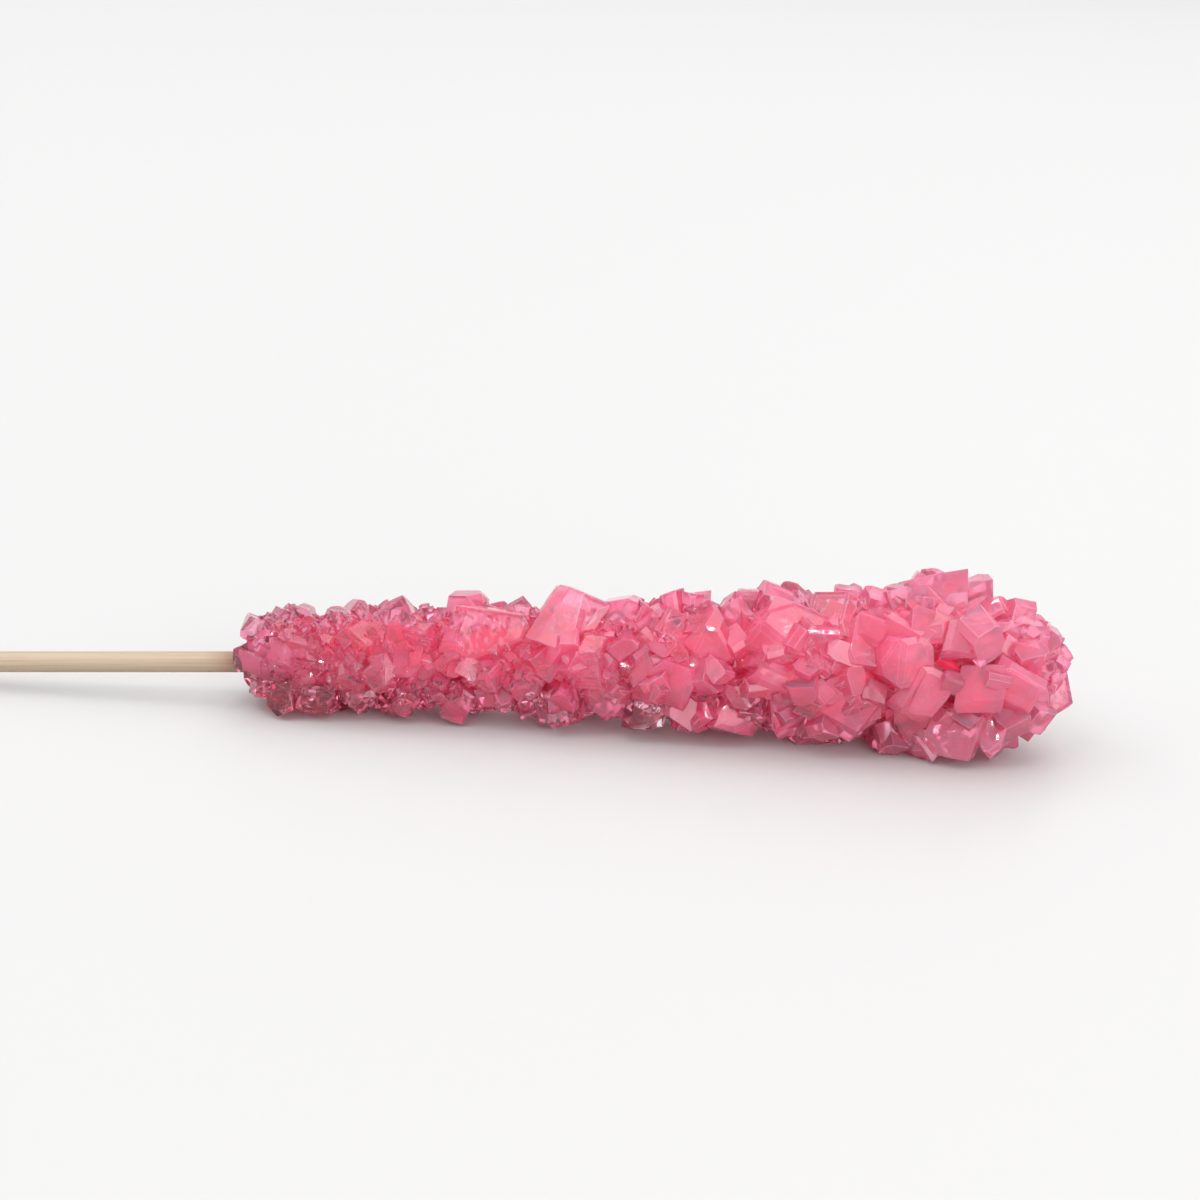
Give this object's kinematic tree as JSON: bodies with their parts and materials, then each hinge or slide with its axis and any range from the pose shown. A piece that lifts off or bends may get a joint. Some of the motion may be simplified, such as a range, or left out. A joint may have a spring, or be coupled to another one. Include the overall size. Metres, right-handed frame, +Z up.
{
  "type": "rock candy stick",
  "caption": "Rock candy on a stick: a knobbly mass of angular pink sugar crystals grown round the end of a thin wooden stick, for stirring into a drink or eating.",
  "frame": {"origin": "Centre of the bounding box in plan, on the flat surface that the candy lies on", "axes": "+X runs along the stick from its bare end to the tip of the candy, +Z is up, and the side that shows in the picture faces -Y and up"},
  "size_m": [0.177, 0.026, 0.0261],
  "materials": {
    "pink_sugar": "milky translucent pink rock sugar with glossy crystal faces",
    "birch_wood": "plain uncoated birch dowel"
  },
  "bodies": {
    "root": {"crystals": "pink_sugar", "stick": "birch_wood"}
  },
  "joints": []
}
